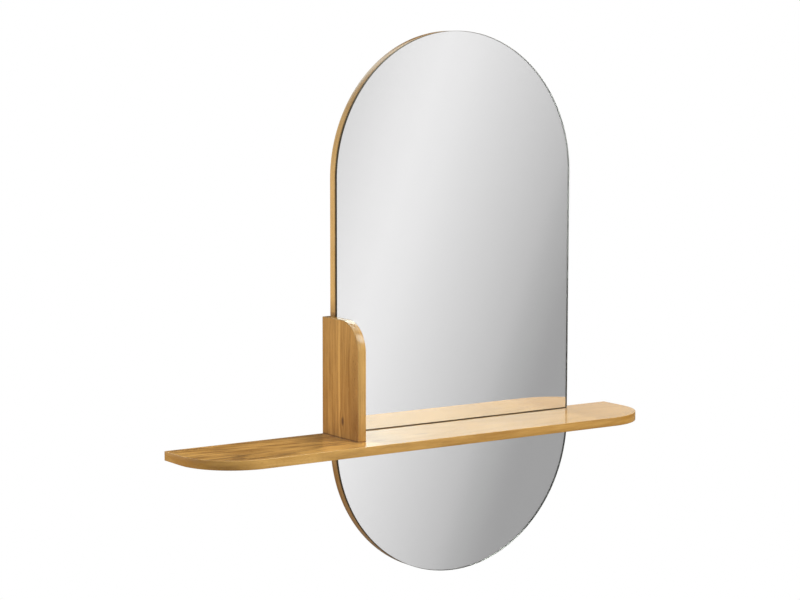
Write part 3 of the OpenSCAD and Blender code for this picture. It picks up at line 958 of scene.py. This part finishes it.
# Tall soft panels stand round the studio. The mirror shows the slope between a bright one and a grey one.
# Azimuths are in degrees from straight ahead of the mirror, to its right, or from straight behind it.
# Each "from" and "to" is an azimuth, and each "foot", "rise" and "top" is a pair of elevations.
studioSettings = {
    "ambient": 0.44,
    "darkSide": {"azimuth": -42.0, "inner": 20.0, "outer": 75.0, "share": 0.75},
    "panels": {"azimuth": 35.46, "tilt": 0.313, "spacing": 10.0},
    "slope": ((0.0, 0.905), (0.08, 0.865), (0.163, 0.788), (0.326, 0.64), (0.408, 0.558), (0.45, 0.49),
              (0.53, 0.396), (0.56, 0.38)),
    "screen": {"from": 33.9, "to": 38.7, "left": 1.45, "right": 0.5, "foot": (2.0, 8.0)},
    "darkRight": {"from": 50.0, "to": 54.0, "share": 0.1},
    "keyGlow": {"azimuth": 47.0, "elevation": 37.0, "inner": 9.5, "outer": 18.0, "strength": 9.8},
    "behind": {"from": 36.1, "to": 38.3, "left": 0.03, "right": 0.75},
    "darkBehind": {"from": 42.0, "to": 52.0, "share": 0.2},
    "arcGlow": {"from": -18.0, "to": 3.0, "low": 0.85, "level": 0.8, "high": 2.4, "rise": (4.0, 16.0)},
    "arcEnd": {"from": 8.0, "to": 28.0, "foot": (-8.0, -3.0), "below": 0.3, "top": (26.0, 36.0)},
    "frontEdge": (-0.05, 0.25),
    "above": {"foot": (35.0, 60.0), "strength": 2.1, "inMirror": 3.2},
    "inMirror": {"along": ((34.0, 0.48), (35.0, 0.22), (36.0, 0.2), (38.0, 0.72)),
                 "rise": (18.0, 32.0), "high": -0.75},
    "tint": (0.955, 1.045, 0.975, 1.0),
}


def wayTo(azimuth, elevation):
    turn, rise = math.radians(azimuth), math.radians(elevation)
    return math.sin(turn) * math.cos(rise), -math.cos(turn) * math.cos(rise), math.sin(rise)


def roundPatch(tree, way, s, elevation, plain, full):
    # a round patch of light or dark: full within its inner angle, plain from its outer one on
    toward = vectorMath(tree, "DOT_PRODUCT", way, wayTo(s["azimuth"], elevation))
    outer, inner = (math.cos(math.radians(s[k])) for k in ("outer", "inner"))
    return fade(tree, toward, outer, inner, plain, full)


def makeFront(tree, s, way, azimuth, elevation, high):
    # low down the slope that the mirror shows
    panels = s["panels"]
    line = minus(tree, azimuth, addShare(tree, elevation, panels["tilt"], panels["azimuth"]))
    fromPanel = calculate(tree, "PINGPONG", line, panels["spacing"])
    ramp = addNode(tree, "ValToRGB", {0: calculate(tree, "DIVIDE", fromPanel, panels["spacing"])})
    while len(ramp.color_ramp.elements) < len(s["slope"]):
        ramp.color_ramp.elements.new(0.5)
    for element, (position, value) in zip(ramp.color_ramp.elements, s["slope"]):
        element.position = position
        element.color = gray(value)
    slope = addNode(tree, "SeparateColor", {0: ramp.outputs[0]}).outputs[0]

    # higher a white screen, and the glow of the key light in it
    screen, dark, glow = s["screen"], s["darkRight"], s["keyGlow"]
    white = spread(tree, azimuth, screen["from"], screen["to"], screen["left"], screen["right"])
    front = mixValues(tree, high, slope, white)
    front = times(tree, front, fade(tree, azimuth, dark["from"], dark["to"], 1.0, dark["share"]))
    light = roundPatch(tree, way, glow, glow["elevation"], 0.0, glow["strength"])
    return calculate(tree, "ADD", front, light)


def makeBehind(tree, s, azimuth, elevation):
    # dark to the left, grey to the right, and a glow that the round ends catch
    plain, dark, arc, end = s["behind"], s["darkBehind"], s["arcGlow"], s["arcEnd"]
    behind = fade(tree, azimuth, plain["from"], plain["to"], plain["left"], plain["right"])
    behind = times(tree, behind, fade(tree, azimuth, dark["from"], dark["to"], 1.0, dark["share"]))
    right = fade(tree, elevation, *arc["rise"], arc["level"], arc["high"])
    glow = fade(tree, azimuth, arc["from"], arc["to"], arc["low"], right)
    left = fade(tree, elevation, *end["foot"], end["below"], 1.0)
    near = spread(tree, azimuth, end["from"], end["to"], left, fade(tree, elevation, *end["top"]))
    return calculate(tree, "MAXIMUM", behind, times(tree, glow, near))


def makeWorld():
    s = studioSettings
    world = bpy.data.worlds.new("studioWorld")
    scene.world = world
    world.use_nodes = True
    world.cycles.sampling_method = "NONE"  # so that each kind of ray sees its own light
    tree = world.node_tree
    tree.nodes.clear()
    way = addNode(tree, "TexCoord").outputs["Generated"]
    axes = addNode(tree, "SeparateXYZ", {0: way}).outputs
    forward = times(tree, axes[1], -1.0)
    azimuth = calculate(tree, "DEGREES", calculate(tree, "ARCTAN2", axes[0], forward))
    azimuthBehind = calculate(tree, "DEGREES", calculate(tree, "ARCTAN2", axes[0], axes[1]))
    elevation = calculate(tree, "DEGREES", calculate(tree, "ARCSINE", axes[2]))
    high = fade(tree, elevation, *s["screen"]["foot"])
    front = makeFront(tree, s, way, azimuth, elevation, high)
    behind = makeBehind(tree, s, azimuthBehind, elevation)
    shown = mixValues(tree, fade(tree, forward, *s["frontEdge"]), behind, front)

    # by way of the mirror the front is brighter low down and darker high up, and what is above is brighter
    path = addNode(tree, "LightPath").outputs
    mirrored, top = s["inMirror"], s["above"]
    more = follow(tree, azimuth, mirrored["along"])
    more = times(tree, more, fade(tree, elevation, *mirrored["rise"], 1.0, mirrored["high"]))
    more = times(tree, times(tree, path["Is Transmission Ray"], more), high)
    shown = addShare(tree, more, shown, shown)
    above = fade(tree, elevation, *top["foot"], 0.0, top["strength"])
    above = times(tree, above, addShare(tree, path["Is Transmission Ray"], top["inMirror"], 1.0))
    shown = calculate(tree, "ADD", shown, above)

    # diffuse light comes evenly from all round, but less from the camera's side
    dark = s["darkSide"]
    ambient = roundPatch(tree, way, dark, 0.0, s["ambient"], s["ambient"] * (1 - dark["share"]))
    light = mixValues(tree, path["Is Diffuse Ray"], shown, ambient)
    # the camera itself sees plain white
    seen = mixValues(tree, path["Is Camera Ray"], light, 1.0)
    # the light that gloss shows is a little warm; the mirror and the camera look lower and see it plain
    untinted = calculate(tree, "MAXIMUM", path["Is Diffuse Ray"], path["Is Camera Ray"])
    color = blendColors(tree, minus(tree, high, untinted, clamp=True), gray(1.0), s["tint"])
    background = addNode(tree, "Background", {"Color": color, "Strength": seen})
    addNode(tree, "OutputWorld", {0: background.outputs[0]})


softboxTarget = Vector((0, -0.07, -0.1))
softboxes = {
    "keySoftbox": {"place": (3.3, -5.15, 3.4), "size": 4.0, "power": 520},
    "topSoftbox": {"place": (0.8, 0.3, 2.4), "size": 1.6, "power": 46},
    "sideSoftbox": {"place": (-2.1, 0.9, -0.2), "size": 1.6, "power": 37},
}


def makeSoftboxes():
    for name, s in softboxes.items():
        lamp = bpy.data.lights.new(name, "AREA")
        lamp.shape = "SQUARE"
        lamp.size = s["size"]
        lamp.energy = s["power"]
        holder = bpy.data.objects.new(name, lamp)
        scene.collection.objects.link(holder)
        holder.location = s["place"]
        holder.rotation_euler = (softboxTarget - Vector(s["place"])).to_track_quat("-Z", "Y").to_euler()
        holder.visible_glossy = False
        holder.visible_transmission = False


# Angles are in degrees, and the turn is to the right of straight at the wall
cameraSettings = {
    "place": (-2.16556, -3.00428, 0.4122),
    "lens": 95.184,
    "turn": 34.424,
    "dip": 6.282,
    "roll": -0.084,
}


def makeCamera():
    s = cameraSettings
    camera = bpy.data.objects.new("studioCamera", bpy.data.cameras.new("studioCamera"))
    scene.collection.objects.link(camera)
    camera.data.lens = s["lens"]
    turn, dip, roll = (math.radians(s[k]) for k in ("turn", "dip", "roll"))
    aim = Matrix.Rotation(-turn, 4, "Z") @ Matrix.Rotation(math.pi / 2 - dip, 4, "X")
    camera.matrix_world = Matrix.Translation(s["place"]) @ aim @ Matrix.Rotation(-roll, 4, "Z")
    scene.camera = camera


makeFloor()
makeWorld()
makeSoftboxes()
makeCamera()
print("studio ready")
